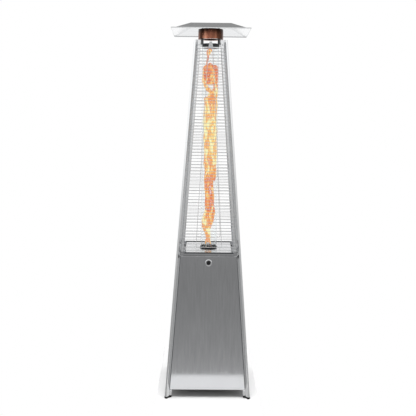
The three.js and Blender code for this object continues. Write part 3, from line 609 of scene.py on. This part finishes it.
def make_deck():
    """Burner deck: an upturned pan whose edges roll down, with black strips standing up along its two
    sides and along the top of the frame's front bar, put where the gaps there lie in shadow: painted
    shadow lines."""
    half_x, half_y = 143.0, 161.0
    outline = rounded([(-half_x, -half_y), (half_x, -half_y), (half_x, half_y), (-half_x, half_y)], 4.0)
    size = np.array([half_x, half_y])
    rows = [(3.0, DECK_Z), (1.2, DECK_Z - 0.4), (0.3, DECK_Z - 1.4), (0.0, DECK_Z - 3.0),
            (0.0, 873.8), (1.5, 873.8), (1.5, DECK_Z - 3.0), (4.0, DECK_Z - 1.5)]
    rings = [np.c_[outline * (1 - inset / size), np.full(len(outline), z)] for inset, z in rows]
    pan = loft([upright(ring) for ring in rings])
    piece("rolled_burner_deck", pan, DECK_STEEL, replaces=["burner_deck"])
    # black strips put where the gaps beside the deck and above the front bar lie in shadow: painted shadow
    # lines
    shadow_strips = []
    for hand in (-1, 1):
        inner, outer = hand * (half_x - 1.8), hand * half_x
        section = rounded([(inner, DECK_Z - 3), (inner, 897.0), (outer, 897.5), (outer, DECK_Z - 3)], 0.7)
        ends = [np.c_[section[:, 0], np.full(len(section), y), section[:, 1]] for y in (-half_y, half_y)]
        shadow_strips.append(loft([upright(ring) for ring in ends]))
    strip = rounded([(-149, 885.6), (149, 885.6), (149, 892.6), (-149, 892.6)], 1.0)
    front = slab(strip, 177.9, 179.2, 0.4)
    shadow_strips.append(moved(front, lambda p: upright(np.c_[p[:, 0], -p[:, 2], p[:, 1]])))
    piece("deck_edge_shadow_strips", joined(shadow_strips), BLACK_ENAMEL)


def make_rear_panel():
    """Rear sheet with its control opening: a tray whose face is a frame round the opening."""
    half_x, half_v = 72.0, 40.0
    middle = slope(CONTROL_Z)
    hole = np.array([(-half_x, middle - half_v), (half_x, middle - half_v),
                     (half_x, middle + half_v), (-half_x, middle + half_v)])
    quarter = np.linspace(0, np.pi / 2, 6)
    bend = 2.2
    outer = [(bend * (1 - math.sin(a)), PANEL_FACE - bend * (1 - math.cos(a))) for a in quarter]
    back = PANEL_FACE - PANEL_DEPTH
    inner = [(0.0, back), (SHEET, back), (SHEET, PANEL_FACE - bend), (bend, PANEL_FACE - SHEET)]
    rings = [on_face(2, *rounded(hole, 1.0, 3).T, PANEL_FACE - SHEET),
             on_face(2, *rounded(hole, 1.0, 3).T, PANEL_FACE)]
    for inset, w in [*outer, *inner]:
        xv = tray_ring(PANEL_BOTTOM, PANEL_TOP, PANEL_EDGE, inset, 3.0)
        rings.append(on_face(2, xv[:, 0], xv[:, 1], w))
    piece("brushed_rear_panel", loft(rings, loop=True), PANEL_STEEL,
          replaces=["rear_panel"], crease=40)


# ---- knobs, latch and rear controls -------------------------------------------------------
def make_latch():
    """Turn latch in the door: a rolled ring, and a knob on its stem with a raised grip bar."""
    place = on_face_at(0, 0.0, slope(LATCH_Z))
    face = PANEL_FACE
    ring = lathe([(4.4, face + 0.3), (20.6, face + 0.3), (21.0, face + 0.9), (20.4, face + 2.4),
                  (18.8, face + 3.3), (16.0, face + 3.5), (13.5, face + 3.0), (12.4, face + 1.9),
                  (4.4, face + 1.7)], 72, loop=True)
    piece("latch_ring", moved(ring, place), WIRE_STEEL, "door", ["latch_bezel"])
    stem = lathe([(0, -26.0), (4.0, -26.0), (4.0, face + 4.2), (10.4, face + 4.2), (11.0, face + 4.8),
                  (11.0, face + 13.4), (10.4, face + 15.2), (8.8, face + 16.2), (0, face + 16.5)], 48)
    outline = rounded([(-8.4, -2.0), (8.4, -2.0), (8.4, 2.0), (-8.4, 2.0)], 1.6)
    grip = slab(outline, face + 15.0, face + 20.0, 0.8)
    piece("latch_turn_knob", moved(joined([stem, grip]), place), BLACK_PLASTIC, "latch",
          ["latch_knob"])


def make_gas_knob():
    """Fluted gas knob: a skirt, then a grip whose radius swells and draws in twelve times, and a
    raised pointer on its face."""
    back = PANEL_FACE + 5.5
    profile = [(4.3, back), (21.4, back), (22.0, back + 0.7), (22.0, back + 6.6), (21.2, back + 8.0),
               (18.6, back + 9.2), (17.6, back + 11.0), (16.8, back + 20.4), (15.9, back + 22.3),
               (14.2, back + 23.0), (0, back + 23.0)]

    def flutes(angle, row):
        return 1 - 0.035 * ((row >= 6) & (row <= 8)) * (0.5 + 0.5 * np.cos(12 * angle))

    knob = lathe(profile, 144, ripple=flutes)
    outline = rounded([(-1.1, 3.0), (1.1, 3.0), (1.1, 13.0), (-1.1, 13.0)], 0.6)
    pointer = slab(outline, back + 22.4, back + 23.8, 0.3)
    place = on_face_at(2, KNOB_X, slope(CONTROL_Z))
    piece("fluted_gas_knob", moved(joined([knob, pointer]), place), BLACK_PLASTIC, "knob",
          ["gas_knob"])


def make_igniter():
    """Igniter: a flanged collar with its barrel behind, and a push button with a dished end."""
    place = on_face_at(2, IGNITER_X, slope(CONTROL_Z))
    face = PANEL_FACE
    collar = lathe([(0, face - 44), (9.5, face - 44), (9.5, face + 0.3), (12.6, face + 0.3),
                    (13.0, face + 0.8), (13.0, face + 2.6), (12.2, face + 3.5), (7.9, face + 3.5),
                    (7.3, face + 2.9), (7.3, face - 16), (0, face - 16)], 60)
    piece("igniter_collar", moved(collar, place), BLACK_PLASTIC, replaces=["igniter_body"])
    button = lathe([(0, face - 8), (7.0, face - 8), (7.0, face + 9.6), (6.4, face + 11.0),
                    (5.2, face + 11.5), (4.4, face + 11.1), (0, face + 10.7)], 48)
    piece("igniter_push_button", moved(button, place), RED_PLASTIC, "igniter",
          ["igniter_button"])


# ---- burner and flame tube ----------------------------------------------------------------
def make_burner():
    """Burner head with three rings of raised ports, and the ring that the glass stands in."""
    head = lathe([(0, 870), (19, 870), (19, 862), (22, 862), (22, 888.8), (36.0, 888.8), (37.0, 889.8),
                  (37.0, 899.6), (36.4, 901.6), (34.6, 903.4), (32.0, 904.4), (0, 904.9)], 96)
    ports = []
    for ring_r, count in ((30.0, 24), (22.0, 18), (14.0, 12)):
        angle = np.arange(count) * 2 * np.pi / count
        for x, y in zip(ring_r * np.cos(angle), ring_r * np.sin(angle)):
            stud = lathe([(2.1, 903.6), (2.1, 905.0), (1.5, 905.4), (1.0, 904.9), (0, 904.7)], 10)
            ports.append(moved(stud, lambda p, x=x, y=y: p + [x, y, 0]))
    piece("ported_burner_head", moved(joined([head, *ports]), upright), BLACK_ENAMEL,
          replaces=["burner_head"])
    seat = lathe([(41.0, 888.8), (51.6, 888.8), (52.3, 889.5), (52.3, 897.6), (51.7, 898.3),
                  (50.3, 898.3), (50.3, 893.0), (41.0, 893.0)], 96, loop=True)
    piece("glass_seat", moved(seat, upright), BLACK_ENAMEL, replaces=["glass_seat_ring"])


def make_glass():
    """Flame tube: a thick wall whose ends have their edges taken off."""
    inner, outer = GLASS_R - GLASS_WALL, GLASS_R
    low, high = GLASS_BOTTOM, GLASS_TOP
    wall = lathe([(inner, low + 0.8), (inner + 0.8, low), (outer - 0.8, low), (outer, low + 0.8),
                  (outer, high - 0.8), (outer - 0.8, high), (inner + 0.8, high), (inner, high - 0.8)],
                 96, loop=True)
    piece("flame_tube", moved(wall, upright), GLASS, replaces=["glass_tube"], crease=60)


def flame_tongue(rows, depth, phase):
    """A closed tongue of flame: at each height an oval ring between a left and a right edge,
    both smooth curves through the rows (height, left, right), its rim rippled by two waves."""
    rows = np.asarray(rows, float)
    z = np.linspace(rows[0, 0], rows[-1, 0], 90)
    left = np.interp(z, rows[:, 0], rows[:, 1])
    right = np.interp(z, rows[:, 0], rows[:, 2])
    blur = np.hanning(7) / np.hanning(7).sum()
    left = np.convolve(np.pad(left, 3, "edge"), blur, "valid")
    right = np.convolve(np.pad(right, 3, "edge"), blur, "valid")
    middle, half = (left + right) / 2, (right - left) / 2
    tip = np.clip(np.minimum(z - z[0], z[-1] - z) / 14, 0, 1) ** 0.5
    angle = np.arange(28) * 2 * np.pi / 28
    slow = 0.06 * np.sin(3 * angle + z[:, None] / 21 + phase)
    quick = 0.05 * np.sin(5 * angle - z[:, None] / 13)
    ripple = 1 + slow + quick
    radius = half[:, None] * tip[:, None] * ripple
    x = middle[:, None] + radius * np.cos(angle)
    y = depth * radius * np.sin(angle)
    return loft(np.stack([x, y, np.repeat(z[:, None], 28, 1)], -1))


def make_flame():
    """The flame that fills the tube: one tall body, two feet on the burner, side tongues and the
    wisp that leaves its top."""
    body = [(915, -14, 12), (930, -16, 10), (945, -18, 9), (965, -22, 11), (990, -27, 8), (1010, -42, 10),
            (1035, -44, 24), (1060, -44, 30), (1090, -38, 34), (1110, -26, 38), (1150, -22, 34),
            (1200, -26, 31), (1260, -28, 26), (1320, -31, 24), (1370, -30, 38), (1420, -34, 46),
            (1480, -33, 46), (1540, -34, 45), (1600, -38, 43), (1660, -41, 41), (1720, -38, 42),
            (1780, -36, 44), (1826, -33, 46)]
    top = [(1888, -44, 46), (1900, -46, 46), (1950, -47, 47), (1984, -46, 46), (1994, -44, 45),
           (2002, -34, 38), (2010, -18, 14), (2020, -12, 4)]
    left_branch = [(1842, -14, 8), (1858, -28, 6), (1876, -37, -9), (1890, -43, -20), (1908, -44, -22)]
    right_branch = [(1800, -12, 46), (1838, -13, 46), (1852, 4, 46), (1868, 19, 46), (1890, 20, 46),
                    (1908, 16, 46)]
    wisp = [(2005, -27, -20), (2030, -24, -13), (2050, -20, -9), (2060, -20, -9), (2071, -23, -4),
            (2086, -25, 8), (2096, -22, 10), (2104, -16, 6)]
    left_foot = [(905, -23, -15), (925, -22, -12), (945, -20, -8)]
    right_foot = [(905, 7, 15), (925, 5, 13), (945, 0, 10)]
    side_tongue = [(1300, 26, 34), (1330, 24, 42), (1375, 20, 44), (1400, 24, 42)]
    tongues = [(body, 0.8, 0.0), (top, 0.85, 1.0), (left_branch, 0.6, 0.4), (right_branch, 0.6, 1.7),
               (wisp, 0.8, 2.0), (left_foot, 0.9, 0.5), (right_foot, 0.9, 1.5), (side_tongue, 0.5, 2.5)]
    shapes = [flame_tongue(rows, depth, phase) for rows, depth, phase in tongues]
    flame = piece("gas_flame", moved(joined(shapes), upright), FLAME, crease=80)
    flame.visible_glossy = False


def make_collar():
    """Tube collar: a ring whose wall stands up to the flame screen at both sides and stops at
    the sill of its windows at the front and rear."""
    low, sill, top = 2105.8, 2128.0, 2154.7
    reach = math.acos(44.0 / COLLAR_R)
    joints = [reach, math.pi - reach, math.pi + reach, 2 * math.pi - reach]
    angle = np.sort(np.concatenate([np.linspace(0, 2 * np.pi, 96, endpoint=False), joints, joints]))
    high = np.where(np.abs(np.cos(angle)) * COLLAR_R < 43.99, sill, top)
    for joint in joints:
        first, second = np.flatnonzero(np.isclose(angle, joint))
        rising = joint in (joints[1], joints[3])
        high[first], high[second] = (sill, top) if rising else (top, sill)
    rings = []
    for r, z in ((COLLAR_R, np.full_like(high, low)), (COLLAR_R, high), (COLLAR_R - 1.5, high),
                 (COLLAR_R - 1.5, np.full_like(high, low))):
        rings.append(np.stack([r * np.cos(angle), r * np.sin(angle), z], -1))
    piece("windowed_collar", moved(loft(rings, loop=True), upright), COLLAR_ENAMEL,
          replaces=["tube_collar"])


def make_screen():
    """Flame screen: a turned sheet with a flange that runs in below and a jogged rim, and the flat
    cap that closes it."""
    r, low, high = SCREEN_R, SCREEN_BOTTOM, SCREEN_TOP
    shell = lathe([(47.0, low), (r - 2.0, low), (r - 0.5, low + 0.6), (r, low + 2.0), (r, high - 5),
                   (r - 1.0, high - 4), (r - 1.0, high), (r - 2.2, high), (r - 2.2, high - 5),
                   (r - 1.2, high - 6), (r - 1.2, low + 2.4), (r - 2.4, low + 1.2), (47.0, low + 1.2)],
                  128, loop=True)
    piece("flame_screen_shell", moved(shell, upright), COPPER, replaces=["flame_screen"])
    cap = lathe([(0, 2212.3), (74.6, 2212.3), (76.0, 2212.8), (76.0, 2213.3), (74.6, 2213.8),
                 (0, 2213.8)], 96)
    piece("flame_screen_cap", moved(cap, upright), HOOD_STEEL, replaces=["screen_cap"])


def square_ring(half, z, radius):
    """One ring of the hood: a square of that half-width with rounded corners, at a height."""
    outline = rounded([(-half, -half), (half, -half), (half, half), (-half, half)], radius, 4)
    return upright(np.c_[outline, np.full(len(outline), z)])


def make_hood():
    """Hood: square rings from the middle of the roof over its bend, slope and nearly flat brim,
    round the hem and back up the inside one sheet thickness below."""
    rows = [(60.0, 2238.0, 2.0), (115.0, 2238.0, 2.0), (117.2, 2237.9, 2.2), (119.4, 2237.3, 2.4),
            (200.0, 2203.6, 3.4), (202.0, 2202.9, 3.5), (204.4, 2202.6, 3.6),
            (227.0, 2199.8, 4.0), (228.5, 2198.8, 4.2), (229.0, 2196.8, 4.4), (229.0, 2194.6, 4.4),
            (228.4, 2194.0, 4.0), (227.6, 2194.4, 3.0), (226.9, 2196.0, 2.0), (224.5, 2198.5, 1.0),
            (204.2, 2201.2, 1.0), (201.6, 2201.5, 1.0), (199.4, 2202.3, 1.0),
            (119.0, 2236.0, 1.0), (116.8, 2236.6, 1.0), (60.0, 2236.6, 1.0)]
    rings = [square_ring(half, z, radius) for half, z, radius in rows]
    piece("pyramid_hood", loft(rings), HOOD_STEEL, replaces=["hood"], crease=12)


# ---- wire guards --------------------------------------------------------------------------
def make_guards():
    """Each guard: straight cross wires one pitch apart between the rails' fins, and behind them a
    long stay wire that runs down, turns under with rounded corners and runs up again."""
    count = round((GUARD_TOP - GUARD_BOTTOM) / GUARD_PITCH)
    heights = np.linspace(GUARD_BOTTOM + GUARD_WIRE_R, GUARD_TOP - GUARD_WIRE_R, count + 1)
    reach = corner(heights) - PANEL_EDGE - 0.6
    w = GUARD_FACE - GUARD_WIRE_R
    foot, head = 922.0, 2092.0
    half_foot, half_head = 77.0, 14.0
    bottom_bend = rounded([(-half_foot, foot), (half_foot, foot), (half_head, head), (-half_head, head)],
                          [12.0, 12.0, 1.0, 1.0], 8)
    stay = np.roll(bottom_bend, 9, 0)
    side_wire = np.array([[-1.0, 1.0]])
    for side, name in enumerate(SIDES):
        across = on_face(side, 0, 0, 1.0) - on_face(side, 0, 0, 0.0)
        ends = np.stack([-reach, reach], 1)
        wires = on_face(side, ends, slope(heights)[:, None], w)
        stays = on_face(side, stay[:, 0], slope(1.0) * stay[:, 1], w - 2 * GUARD_WIRE_R)[None]
        stile_z = np.array([GUARD_BOTTOM, GUARD_TOP])
        stile_x = (corner(stile_z) - PANEL_EDGE - 1.9)[None] * side_wire.T
        stiles = on_face(side, stile_x, slope(stile_z)[None], w)
        shape = joined([tubes(wires, GUARD_WIRE_R, across), tubes(stays, GUARD_WIRE_R, across),
                        tubes(stiles, GUARD_WIRE_R, across)])
        piece(f"wire_guard_{name}", shape, WIRE_STEEL, replaces=[f"guard_{name}"], crease=60)


# ---- screws -------------------------------------------------------------------------------
def screw(head_r=4.0, height=2.2, recess=1.3):
    """Pan head screw: a domed head with a round-cornered cross cut towards its middle."""
    def cross(angle, row):
        return np.where(row >= 4, 1 - 0.45 * np.abs(np.sin(2 * angle)), 1.0)
    return lathe([(0, -0.4), (head_r, -0.4), (head_r, 0.6), (head_r * 0.8, height * 0.9),
                  (recess * 1.6, height), (recess, height - 0.9), (0, height - 0.9)], 24, ripple=cross)


def make_screws():
    """Black screws through the fins beside the deck, bright ones at the fins' top ends."""
    from_corner, fin_face = 22.0, -13.6
    black, bright = [], []
    for side in range(4):
        for hand in (-1, 1):
            for z, group in ((884.0, black), (2118.0, bright)):
                place = on_face_at(side, hand * (corner(z) - from_corner), slope(z))
                group.append(moved(screw(), lambda p, place=place: place(p + [0, 0, fin_face])))
    piece("deck_screws", joined(black), BLACK_ENAMEL)
    piece("top_screws", joined(bright), WIRE_STEEL)
    bracket_bolt = moved(screw(4.6, 3.0, 1.6), lambda p: upright(
        np.c_[p[:, 0], -77.4 - p[:, 2], p[:, 1] + 2117.0]))
    piece("bracket_bolt", bracket_bolt, WIRE_STEEL)


# ---- rear wheels --------------------------------------------------------------------------
def make_wheels():
    """Solid wheels turned about X: hub, thin disc and a tread with a shallow groove."""
    half = WHEEL_WIDTH / 2
    tread, groove = WHEEL_R, WHEEL_R - 0.8
    outside = [(4.3, half - 0.6), (5.0, half), (11.2, half), (12.0, half - 0.8), (12.6, half - 4.0),
               (20.4, half - 4.0), (21.0, half - 0.8), (22.0, half), (27.6, half), (groove, half - 0.8),
               (tread, half - 2.6), (tread, 1.6), (groove, 1.0)]
    profile = outside + [(r, -z) for r, z in outside[::-1]]
    for name, x in (("left", -WHEEL_X), ("right", WHEEL_X)):
        wheel = moved(lathe(profile, 72, loop=True), lambda p, x=x: upright(
            np.c_[p[:, 2] + x, p[:, 0] + AXLE_Y, p[:, 1] + AXLE_Z]))
        piece(f"tread_wheel_{name}", wheel, WHEEL_RUBBER, f"{name}_wheel", [f"wheel_{name}"])


# ---- studio -------------------------------------------------------------------------------
def flat_sheet(name, left, right, front, back, z, tone):
    """A plain sheet that lies level and belongs to the studio."""
    mesh = bpy.data.meshes.new(name)
    mesh.from_pydata([(left, front, z), (right, front, z), (right, back, z), (left, back, z)], [],
                     [(0, 1, 2, 3)])
    material = new_material(f"plain_{name}", Roughness=0.9, Base_Color=linear(tone),
                            Specular_IOR_Level=0.0)[0]
    mesh.materials.append(material)
    sheet = bpy.data.objects.new(name, mesh)
    bpy.context.scene.collection.objects.link(sheet)
    return sheet


def make_floor():
    """A pale floor just larger than the heater's base, which steel does not mirror, and a reflector
    board lying in front, which only the steel mirrors: it makes the door's bright lower band. A
    black flag under the tray deepens the cabinet's shadow."""
    front_edge = -0.82
    floor = flat_sheet("studio_floor", -0.31, 0.31, front_edge, 0.6, 0.0, "f6f6f6")
    floor.visible_glossy = False
    board = flat_sheet("reflector_board", -0.27, 0.27, front_edge, -0.42, 0.001, "f6f6f6")
    board.visible_camera = False
    board.visible_diffuse = False
    board.visible_shadow = False
    board.visible_transmission = False
    flag = flat_sheet("black_flag", -0.235, 0.235, -0.235, 0.235, 0.05, "020202")
    flag.visible_camera = False
    flag.visible_glossy = False


# How bright the surroundings look in reflections, by the height (sine of the elevation) that a
# reflected ray points to: the left wall, the right side, both again a little behind the heater,
# the front and the backdrop.
LEFT_WALL = [(-0.27, 0.38), (-0.17, 0.38), (-0.13, 0.42), (-0.1, 0.48), (-0.04, 0.56), (0.0, 0.7),
             (0.04, 0.84), (0.1, 1.1), (0.3, 1.2)]
RIGHT_SIDE = [(-0.27, 0.43), (-0.17, 0.44), (-0.1, 0.47), (-0.07, 0.53), (0.0, 0.66), (0.04, 0.76),
              (0.1, 0.94), (0.22, 1.15)]
LEFT_REAR = [(-0.3, 0.37), (-0.1, 0.38), (-0.03, 0.44), (0.04, 0.68), (0.13, 0.84), (0.5, 0.84)]
RIGHT_REAR = [(-0.3, 0.52), (-0.1, 0.5), (-0.03, 0.43), (0.03, 0.52), (0.1, 0.62), (0.5, 0.62)]
FRONT = [(-0.25, 0.56), (-0.215, 0.4), (-0.14, 0.33), (-0.09, 0.31), (-0.03, 0.38), (0.09, 0.62),
         (0.2, 0.85), (0.5, 1.05)]
BACKDROP = [(-0.8, 1.1), (0.2, 1.15), (0.4, 0.7), (0.55, 0.32), (0.75, 0.3)]
BRIGHTEST = 1.5
AMBIENT = 0.38              # how brightly the surroundings light a matt surface
# Where one zone passes into the next, by the part of a direction that points right (left wall to
# right side), to either side (front to sides, backdrop to sides) or back (front half to rear half).
LEFT_TO_RIGHT = (-0.3, 0.3)
FRONT_TO_SIDES = (0.12, 0.35)
BACKDROP_TO_SIDES = (0.85, 0.97)
FRONT_TO_REAR = (0.02, 0.14)


def wall(tree, height, stops):
    """One zone's brightness over the height, as a fraction of the brightest."""
    fraction = add(tree, "ShaderNodeMapRange", {"Value": height, "From Min": -1.0, "From Max": 1.0})
    return add(tree, "ShaderNodeValToRGB", {"Fac": fraction.outputs["Result"]}, stops=[
        ((place + 1) / 2, grey(level / BRIGHTEST)) for place, level in stops
    ]).outputs["Color"]


def passing(tree, along, span, first, second):
    """One zone passing smoothly into the next while a direction's part runs through a span."""
    share = add(tree, "ShaderNodeMapRange", {
        "Value": along, "From Min": span[0], "From Max": span[1],
    }, interpolation_type="SMOOTHSTEP")
    return add(tree, "ShaderNodeMix", {
        "Factor": share.outputs["Result"], "A": first, "B": second,
    }, data_type="RGBA").outputs["Result"]


def make_surroundings():
    """White surroundings. In reflections they fall off by direction, as in a studio with a bright
    left wall and backdrop, a dimmer right side and a dark front; what is seen through the glass
    stays white."""
    world = bpy.data.worlds.new("studio")
    world.use_nodes = True
    bpy.context.scene.world = world
    tree = world.node_tree
    tree.nodes.clear()
    pointing = add(tree, "ShaderNodeTexCoord").outputs["Generated"]
    x, y, z = add(tree, "ShaderNodeSeparateXYZ", {0: pointing}).outputs
    aside = add(tree, "ShaderNodeMath", {0: x}, operation="ABSOLUTE").outputs[0]
    sides = passing(tree, x, LEFT_TO_RIGHT, wall(tree, z, LEFT_WALL), wall(tree, z, RIGHT_SIDE))
    front = passing(tree, aside, FRONT_TO_SIDES, wall(tree, z, FRONT), sides)
    rear_sides = passing(tree, x, LEFT_TO_RIGHT, wall(tree, z, LEFT_REAR), wall(tree, z, RIGHT_REAR))
    back = passing(tree, aside, BACKDROP_TO_SIDES, wall(tree, z, BACKDROP), rear_sides)
    around = passing(tree, y, FRONT_TO_REAR, front, back)
    reflected = add(tree, "ShaderNodeBackground", {"Color": around, "Strength": BRIGHTEST})
    rays = add(tree, "ShaderNodeLightPath").outputs
    ambient = add(tree, "ShaderNodeMapRange", {
        "Value": rays["Is Diffuse Ray"], "To Min": 1.0, "To Max": AMBIENT,
    })
    plain = add(tree, "ShaderNodeBackground", {"Color": grey(1.0), "Strength": ambient.outputs["Result"]})
    before_glass = add(tree, "ShaderNodeMath", {
        0: rays["Transmission Depth"], 1: 0.5,
    }, operation="LESS_THAN")
    mirrored = add(tree, "ShaderNodeMath", {
        0: rays["Is Glossy Ray"], 1: before_glass.outputs[0],
    }, operation="MULTIPLY")
    both = add(tree, "ShaderNodeMixShader", {
        "Fac": mirrored.outputs[0], 1: plain.outputs[0], 2: reflected.outputs[0],
    })
    output = add(tree, "ShaderNodeOutputWorld")
    tree.links.new(both.outputs[0], output.inputs["Surface"])


def make_lights():
    """One large soft light above, out of sight in reflections."""
    lamp = bpy.data.lights.new("overhead_softbox", "AREA")
    lamp.shape = "RECTANGLE"
    lamp.size, lamp.size_y = 3.0, 3.0
    lamp.energy = 212.0
    softbox = bpy.data.objects.new("overhead_softbox", lamp)
    softbox.location = (0.05, -0.6, 4.2)
    softbox.visible_glossy = False
    bpy.context.scene.collection.objects.link(softbox)


def make_camera():
    """Long lens at eye height, about four metres in front, looking slightly down; lengths are in
    metres and turns in radians."""
    yaw, pitch, roll = 0.0079, 0.1458, 0.0106
    forward = Vector((math.sin(yaw) * math.cos(pitch), math.cos(yaw) * math.cos(pitch), -math.sin(pitch)))
    right = Vector((math.cos(yaw), -math.sin(yaw), 0))
    up = right.cross(forward)
    leaned_right = math.cos(roll) * right + math.sin(roll) * up
    leaned_up = math.cos(roll) * up - math.sin(roll) * right
    camera = bpy.data.objects.new("camera", bpy.data.cameras.new("camera"))
    camera.data.lens = 56.31
    camera.data.sensor_width = 36.0
    turn = Matrix((leaned_right, leaned_up, -forward)).transposed()
    place = Matrix.Translation((-0.0373, CENTRE_Y * MM - 4.0022, 1.7236))
    camera.matrix_world = place @ turn.to_4x4()
    bpy.context.scene.collection.objects.link(camera)
    bpy.context.scene.camera = camera


make_camera()
make_rails()
make_shoes()
make_panels()
make_rear_panel()
make_deck()
make_latch()
make_gas_knob()
make_igniter()
make_burner()
make_glass()
make_flame()
make_collar()
make_screen()
make_hood()
make_guards()
make_screws()
make_wheels()
paint(PANEL_STEEL, "base_tray", "deck_frame")
paint(RAIL_STEEL, "top_plate")
paint(WIRE_STEEL, "door_pivot_top", "door_pivot_bottom", "latch_cam", "mixing_tube", "front_bracket",
      "axle", *(f"hood_spacer_{corner_name}" for corner_name in CORNERS))
paint(BRASS, "gas_valve", "valve_spindle", "inlet_nipple", "gas_injector")
paint(COPPER_PIPE, "supply_pipe", "flame_sensor")
paint(BLACK_ENAMEL, "control_plate", "wheel_bracket")
paint(BLACK_PLASTIC, "tilt_switch")
paint(CERAMIC, "ignition_electrode")
paint(SILICONE, "tube_seal")
make_floor()
make_surroundings()
make_lights()
bpy.context.scene.view_settings.view_transform = "Standard"
